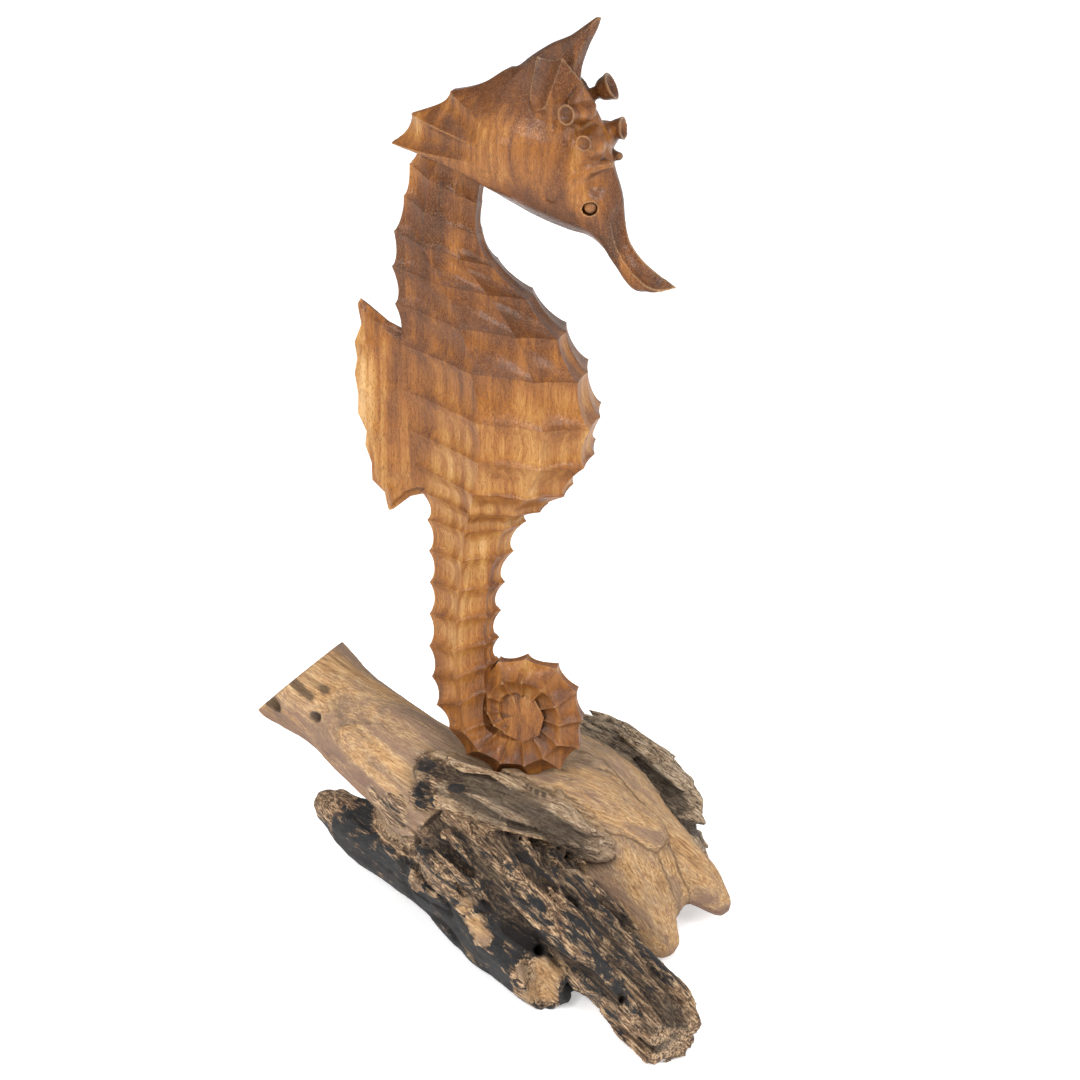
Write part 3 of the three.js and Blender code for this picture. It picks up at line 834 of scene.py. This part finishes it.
def weathering(points, local, looks):
    """How far the surface stands out from the plain limbs, and the finer part of that alone."""
    height, _, _, layered = looks
    bent = local + 3.0 * np.stack([noise(points, 22, k) for k in (1, 2, 3)], axis=1)
    broad = fractal(points, 30, 2, seed=3)
    flutes = 0.45 - 2.4 * np.abs(noise(bent, (60, 11, 11), 11))
    strands = noise(bent, (34, 4.6, 4.6), 12)
    terrace = np.tanh(8 * noise(bent, (75, 10, 6), 23))
    fine = fractal(bent, (11, 2.9, 2.9), 2, seed=31)
    clefts = np.exp(-(noise(bent, (90, 10, 10), 41) / 0.06)**2) * ease(noise(points, 24, 42), -0.15, 0.2)
    crags = np.tanh(10 * noise(bent, (34, 6, 5), 63)) + 0.6 * np.tanh(12 * noise(bent, (20, 3.6, 3.4), 64))
    gaps = np.exp(-(noise(bent, (60, 15, 15), 61) / 0.1)**2) * ease(noise(points, 34, 62), -0.25, 0.15)
    detail = height * (0.45 * flutes + 0.35 * strands) + layered * (1.7 * terrace + 0.8 * crags)
    detail = detail + (0.25 + 0.2 * height) * fine - (1.0 + 2.6 * layered) * clefts - 4.2 * layered * gaps
    return 1.7 * broad + detail, detail


def make_root():
    """The weathered root as one closed mesh."""
    block = Block(ROOT_LOW, ROOT_HIGH, ROOT_CELL)
    fields = limb_fields()
    grid = block.points()
    distance = sample(merged(fields), grid.reshape(-1, 3)).reshape(block.shape)
    band = np.abs(distance) < 8
    points = grid[band]
    exact, local, looks = root_at(points, fields)
    distance[band] = exact - weathering(points, local, looks)[0]
    # Hollows, the sawn end, the torn end, the worn feet and the tail's seat
    for start, end, r_start, r_end in HOLLOWS:
        distance = cut(distance, block.cone(start, end, r_start, r_end), 1.6)
    sawn = block.beyond(LOG_CUT_POINT, LOG_CUT_NORMAL)
    torn = block.beyond(ARM_BREAK_POINT, ARM_BREAK_NORMAL)
    torn = torn + 1.3 * noise(grid.reshape(-1, 3), 7, 71).reshape(block.shape)
    distance = np.where(block.x < -60, np.maximum(distance, sawn), distance)
    distance = np.where(block.x > 85, np.maximum(distance, torn), distance)
    distance = np.maximum(distance, WORN_FLAT - block.z)
    distance = cut(distance, block.of_mesh(*body_mesh(13, 26, 6, grow=0.7)), 0.5)
    root = new_piece("weathered_root", *block.mesh(np.clip(distance, -10, 10)))
    keep_largest(root)
    thin_out(root, ROOT_TRIANGLES)
    for polygon in root.data.polygons:
        polygon.use_smooth = True
    paint_root(root, fields)
    return root


def keep_largest(piece):
    """Drops crumbs that the weathering has set free."""
    mesh = piece.data
    count = len(mesh.vertices)
    label = np.arange(count)
    a, b = read(mesh.edges, "vertices", 2, np.int32).T
    while True:
        low = np.minimum(label[a], label[b])
        new = label.copy()
        np.minimum.at(new, a, low)
        np.minimum.at(new, b, low)
        new = new[new]
        if (new == label).all():
            break
        label = new
    names, sizes = np.unique(label, return_counts=True)
    keep = names[sizes.argmax()]
    faces = [list(f.vertices) for f in mesh.polygons if label[f.vertices[0]] == keep]
    used = np.flatnonzero(label == keep)
    where = np.full(count, -1)
    where[used] = np.arange(len(used))
    faces = [[int(where[v]) for v in f] for f in faces]
    clean = bpy.data.meshes.new(mesh.name)
    clean.from_pydata(read(mesh.vertices, "co", 3)[used].tolist(), [], faces)
    piece.data = clean


def paint_root(root, fields):
    """Stores how black, worn and deep each point is, and its place in the grain; the depth is turned into
    painted shade.
    """
    mesh = root.data
    points = (read(mesh.vertices, "co", 3) / MM - OFFSET).astype(np.float32)
    _, local, looks = root_at(points, fields)
    _, detail = weathering(points, local, looks)
    # Small hollows count as deeper, so that they get more painted shade
    for start, end, r_start, r_end in HOLLOWS:
        inside = -limb_distance(points, np.array([(*start, r_start), (*end, r_end)]))
        if r_start < SMALL_HOLLOW:
            detail = detail - 5 * ease(inside, -1.6, 0.2)
    looks = looks[1:3]
    for centre, reach, wanted in PATCHES:
        far = np.linalg.norm(points - np.array(centre), axis=1)
        far = far + 0.75 * reach * fractal(points, reach * 0.9, 4, 50)
        share = 1 - ease(far, 0.65 * reach, 1.1 * reach)
        looks = mix(looks, np.array(wanted, float)[:, None], share)
    for label, values in zip(("black", "worn", "depth"), (*looks, -detail)):
        store(mesh, label, values)
    store(mesh, "grain", local * MM, "FLOAT_VECTOR", "vector")


# Materials

class Nodes:
    """Builds a material's nodes with short calls."""

    def __init__(self, name):
        self.material = bpy.data.materials.new(name)
        self.material.use_nodes = True
        self.tree = self.material.node_tree
        self.shader = self.tree.nodes["Principled BSDF"]

    def add(self, kind, inputs=None, **settings):
        """A new node with those settings and inputs."""
        made = self.tree.nodes.new(kind)
        for key, value in settings.items():
            setattr(made, key, value)
        for key, value in (inputs or {}).items():
            self.set(made.inputs[key], value)
        return made

    def set(self, socket, value):
        """Links a socket or a node's first output, or sets a plain value."""
        if isinstance(value, bpy.types.NodeSocket):
            self.tree.links.new(value, socket)
        elif isinstance(value, bpy.types.Node):
            self.tree.links.new(value.outputs[0], socket)
        else:
            socket.default_value = value

    def surface(self, inputs):
        """The finished material, with those inputs of its shader."""
        for key, value in inputs.items():
            self.set(self.shader.inputs[key], value)
        return self.material

    def maths(self, operation, a, b=0.5):
        return self.add("ShaderNodeMath", {0: a, 1: b}, operation=operation).outputs[0]

    def plus(self, *terms):
        """The sum of (socket, factor) pairs."""
        total = None
        for socket, factor in terms:
            part = self.maths("MULTIPLY", socket, factor)
            total = part if total is None else self.maths("ADD", total, part)
        return total

    def noise(self, vector, scale, detail, rough, distort=0.0):
        """Noise at a vector that is first scaled along each axis."""
        scaled = self.add("ShaderNodeMapping", {"Vector": vector, "Scale": scale})
        return self.add("ShaderNodeTexNoise", {
            "Vector": scaled, "Scale": 1.0, "Detail": detail, "Roughness": rough, "Distortion": distort,
        }).outputs[0]

    def ramp(self, factor, *stops):
        """A ramp through (position, colour or value) stops."""
        made = self.add("ShaderNodeValToRGB", {"Fac": factor})
        band = made.color_ramp
        while len(band.elements) < len(stops):
            band.elements.new(0.5)
        for element, (position, colour) in zip(band.elements, stops):
            element.position = position
            element.color = (*colour, 1) if isinstance(colour, tuple) else (colour,) * 3 + (1,)
        return made.outputs[0]

    def blend(self, factor, a, b):
        made = self.add("ShaderNodeMix", data_type="RGBA")
        for index, value in zip((0, 6, 7), (factor, a, b)):
            self.set(made.inputs[index], (*value, 1) if isinstance(value, tuple) else value)
        return made.outputs[2]

    def bump(self, height, distance, strength):
        inputs = {"Height": height, "Distance": distance, "Strength": strength}
        return self.add("ShaderNodeBump", inputs).outputs[0]

    def attribute(self, name, output="Fac"):
        return self.add("ShaderNodeAttribute", attribute_name=name).outputs[output]

    def part(self, vector, axis):
        """One of the three parts of a vector."""
        return self.add("ShaderNodeSeparateXYZ", {"Vector": vector}).outputs[axis]


def carved_wood():
    """Waxed hardwood, its grain upright: honey to dark brown bands, fine dark pores and worn ridges."""
    n = Nodes("carved hardwood")
    coords = n.add("ShaderNodeTexCoord")
    place3 = coords.outputs["Object"]
    along, height = n.part(place3, 0), n.maths("MULTIPLY", n.part(place3, 2), 2.0)
    facing = n.maths("ABSOLUTE", n.part(coords.outputs["Normal"], 2))
    bend = n.attribute("bend")
    end_grain = n.ramp(facing, (0.25, 0.0), (0.6, 1.0))
    # Darker at the neck and crown, lighter at the belly, the fin and the tail
    level = n.ramp(height, (0.12, 0.52), (0.24, 0.5), (0.31, 0.32), (0.5, 0.15), (0.57, 0.22),
                   (0.64, 0.52), (0.74, 0.7), (0.79, 0.42), (0.84, 0.34), (0.9, 0.75))
    fin = n.ramp(n.maths("MULTIPLY", along, -10.0), (0.46, 0.0), (0.56, 1.0))
    figure = n.noise(place3, (30, 30, 7), 3.0, 0.5, 1.4)
    bands = n.noise(place3, (210, 210, 9), 4.0, 0.6, 0.5)
    streaks = n.noise(place3, (1300, 1300, 30), 3.0, 0.65)
    tone = n.plus((figure, 0.85), (bands, 0.66), (streaks, 0.3), (level, 0.62), (end_grain, 0.1),
                  (fin, -0.12))
    tone = n.maths("SUBTRACT", tone, 0.48)
    colour = n.ramp(tone, (0.26, (0.57, 0.335, 0.14)), (0.44, (0.41, 0.198, 0.052)),
                    (0.6, (0.27, 0.096, 0.016)), (0.78, (0.12, 0.036, 0.007)), (1.0, (0.05, 0.016, 0.005)))
    # Short dark pores along the grain, and light flecks in the dark wood
    pores = n.noise(place3, (3300, 3300, 380), 1.0, 0.5)
    dash = n.ramp(pores, (0.32, 1.0), (0.39, 0.0))
    colour = n.blend(n.maths("MULTIPLY", dash, 0.5), colour, (0.05, 0.018, 0.007))
    flecks = n.ramp(n.noise(place3, (2500, 2500, 1100), 2.0, 0.6), (0.5, 0.0), (0.62, 1.0))
    share = n.maths("MULTIPLY", flecks, n.ramp(tone, (0.5, 0.0), (0.75, 0.3)))
    colour = n.blend(share, colour, (0.38, 0.17, 0.055))
    # Worn ridges, fainter on the head, and painted shade in the grooves
    worn = n.ramp(bend, (0.2, 0.0), (0.75, 1.0))
    ridge = n.maths("MULTIPLY", worn, n.ramp(height, (0.73, 0.42), (0.78, 0.2)))
    colour = n.blend(ridge, colour, (0.66, 0.42, 0.2))
    # Painted shade: darker where the surface bends inwards, in grooves and creases
    groove_shade = n.ramp(n.maths("MULTIPLY", bend, -1.0), (0.08, 0.0), (0.45, 1.0))
    colour = n.blend(n.maths("MULTIPLY", groove_shade, 0.7), colour, (0.035, 0.014, 0.007))
    dryness = n.plus((dash, 0.3), (streaks, 0.5), (flecks, 0.08))
    relief = n.plus((streaks, 0.5), (dash, -0.6), (flecks, 0.2), (bands, 1.2))
    return n.surface({
        "Base Color": colour, "Roughness": n.ramp(dryness, (0.1, 0.28), (0.6, 0.5)),
        "Specular IOR Level": 0.2, "Normal": n.bump(relief, 0.0004, 0.8),
        "Coat Weight": 0.36, "Coat Roughness": 0.12, "Coat IOR": 1.45,
        "Coat Normal": n.bump(relief, 0.0003, 0.7),
    })


def root_wood():
    """Dry root: pale worn wood, grey-brown layers and charred bark."""
    n = Nodes("weathered root")
    grain = n.attribute("grain", "Vector")
    black, worn, depth = (n.attribute(label) for label in ("black", "worn", "depth"))
    fibre = n.noise(grain, (70, 1000, 1000), 4.0, 0.65, 0.2)
    threads = n.noise(grain, (160, 620, 620), 5.0, 0.75, 0.8)
    broad = n.noise(grain, (16, 60, 60), 4.0, 0.6, 0.8)
    speck = n.noise(grain, (240, 500, 500), 4.0, 0.7, 0.5)
    grit = n.noise(grain, (500, 1500, 1500), 3.0, 0.7)
    # How deep the surface lies, for the painted shade in crevices
    deep = n.ramp(n.maths("MULTIPLY", depth, 0.16), (0.0, 0.0), (0.45, 1.0))
    upward = n.part(n.add("ShaderNodeTexCoord").outputs["Normal"], 2)
    # Pale wood: painted shade on its sides and underneath, with purple-grey stains and dark cracks
    pale = n.ramp(n.plus((fibre, 0.6), (broad, 0.5)), (0.38, (0.24, 0.11, 0.04)),
                  (0.52, (0.56, 0.32, 0.135)), (0.64, (0.8, 0.56, 0.3)))
    # Painted shade: darker where the surface faces sideways or down
    shaded = n.ramp(n.plus((upward, -0.5), (broad, 0.5)), (0.18, 0.0), (0.5, 0.72))
    pale = n.blend(shaded, pale, (0.19, 0.085, 0.045))
    stain = n.ramp(n.plus((broad, 0.6), (threads, 0.4)), (0.46, 0.0), (0.57, 1.0))
    pale = n.blend(n.maths("MULTIPLY", stain, 0.75), pale, (0.17, 0.086, 0.07))
    pale = n.blend(n.ramp(threads, (0.34, 0.8), (0.43, 0.0)), pale, (0.07, 0.035, 0.02))
    layers = n.ramp(n.plus((threads, 0.6), (fibre, 0.2), (grit, 0.2)), (0.39, (0.02, 0.014, 0.011)),
                    (0.45, (0.19, 0.12, 0.07)), (0.51, (0.49, 0.34, 0.21)), (0.58, (0.84, 0.67, 0.46)))
    body = n.blend(worn, layers, pale)
    # Charred bark, which has come off in patches of tan wood
    patch = n.noise(grain, (50, 170, 170), 6.0, 0.7, 1.2)
    tan = n.ramp(n.plus((fibre, 0.5), (threads, 0.5)), (0.4, (0.035, 0.02, 0.012)),
                 (0.49, (0.25, 0.135, 0.067)), (0.57, (0.82, 0.56, 0.32)))
    char = n.ramp(n.plus((fibre, 0.4), (speck, 0.6)), (0.35, (0.006, 0.006, 0.007)),
                  (0.55, (0.024, 0.023, 0.024)), (0.72, (0.11, 0.085, 0.06)))
    edge = n.maths("ADD", n.plus((patch, 1.1), (black, -0.8)), 0.168)
    burnt = n.blend(n.ramp(edge, (0.0, 0.0), (0.1, 1.0)), char, tan)
    share = n.ramp(n.plus((black, 1.0), (patch, 0.5)), (0.5, 0.0), (0.62, 1.0))
    colour = n.blend(share, body, burnt)
    # Painted shade: the deeper a crevice or small hollow, the darker it is
    colour = n.blend(n.maths("MULTIPLY", deep, 0.75), colour, (0.018, 0.012, 0.009))
    rough_height = n.plus((fibre, 0.5), (threads, 1.0), (speck, 0.5), (grit, 0.35))
    smooth_height = n.plus((fibre, 0.6), (threads, 0.2), (grit, 0.12))
    relief = n.add("ShaderNodeMix", {0: worn, 2: rough_height, 3: smooth_height}, data_type="FLOAT")
    return n.surface({
        "Base Color": colour, "Roughness": n.ramp(fibre, (0.3, 0.6), (0.7, 0.85)),
        "Normal": n.bump(relief.outputs[0], 0.0035, 1.0),
    })


def floor_finish():
    """Matt white, lifted to the white of the background."""
    n = Nodes("studio floor")
    grain = n.noise(n.add("ShaderNodeTexCoord").outputs["Object"], (30, 30, 30), 2.0, 0.55)
    return n.surface({
        "Base Color": n.ramp(grain, (0.3, 0.92), (0.7, 0.94)), "Roughness": 0.9, "Specular IOR Level": 0.2,
        "Emission Color": (1, 1, 1, 1), "Emission Strength": 0.42,
    })


# Studio

LENS, SENSOR = 85.0, 36.0
CAMERA_POINT = (211.9, -1086.7, 728.1)
VIEW_AZIMUTH, VIEW_ELEVATION = 10.0, 25.0
FLOOR_SIZE = 30
LIGHTS_AIM = (0, 0, 0.25)
# Square lights: name, place, size and power; and suns: name, direction towards it, power and spread
SOFT_LIGHTS = [
    ("softbox right", (0.95, -0.6, 0.95), 0.5, 9),
    ("softbox left", (-0.85, -0.9, 0.5), 0.35, 3.5),
    ("softbox front", (-0.29, -1.44, 1.33), 0.65, 19),
    ("backdrop", (0.4, 1.7, 0.95), 1.9, 6),
    ("wall right", (1.7, 0.1, 0.8), 1.3, 4),
]
SUNS = [("window above", (0.15, -0.3, 1.0), 0.9, 28), ("window left", (-0.8, -0.45, 0.6), 0.6, 35)]


def make_camera():
    data = bpy.data.cameras.new("camera")
    data.lens, data.sensor_width = LENS, SENSOR
    camera = bpy.data.objects.new("camera", data)
    camera.location = place(CAMERA_POINT)
    camera.rotation_mode = "QUATERNION"
    a, e = math.radians(VIEW_AZIMUTH), math.radians(VIEW_ELEVATION)
    towards = Vector((math.sin(a) * math.cos(e), -math.cos(a) * math.cos(e), math.sin(e)))
    camera.rotation_quaternion = (-towards).to_track_quat("-Z", "Y")
    data.clip_start, data.clip_end = 0.05, 20
    bpy.context.scene.collection.objects.link(camera)
    bpy.context.scene.camera = camera


def make_light(name, kind, towards, power):
    """A light that shines from that direction."""
    data = bpy.data.lights.new(name, kind)
    data.energy = power
    light = bpy.data.objects.new(name, data)
    light.rotation_mode = "QUATERNION"
    light.rotation_quaternion = (-towards).to_track_quat("-Z", "Y")
    bpy.context.scene.collection.objects.link(light)
    return light


def make_studio():
    bpy.ops.mesh.primitive_grid_add(x_subdivisions=4, y_subdivisions=4, size=FLOOR_SIZE)
    floor = bpy.context.object
    floor.name = "floor"
    floor.data.materials.append(floor_finish())
    world = bpy.data.worlds.new("studio")
    world.use_nodes = True
    world.node_tree.nodes["Background"].inputs[0].default_value = (1, 1, 1, 1)
    world.node_tree.nodes["Background"].inputs[1].default_value = 0.26
    bpy.context.scene.world = world
    for name, towards, power, spread in SUNS:
        light = make_light(name, "SUN", Vector(towards), power)
        light.data.angle = math.radians(spread)
    for name, point, size, power in SOFT_LIGHTS:
        light = make_light(name, "AREA", Vector(point) - Vector(LIGHTS_AIM), power)
        light.location = point
        light.data.shape, light.data.size = "SQUARE", size
    bpy.context.scene.view_settings.view_transform = "Standard"


make_camera()
make_studio()

figure = make_seahorse()
figure.data.materials.clear()
figure.data.materials.append(carved_wood())
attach(figure, "root")
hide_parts("seahorse")

root = make_root()
root.data.materials.append(root_wood())
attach(root, "root")
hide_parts("driftwood_base")
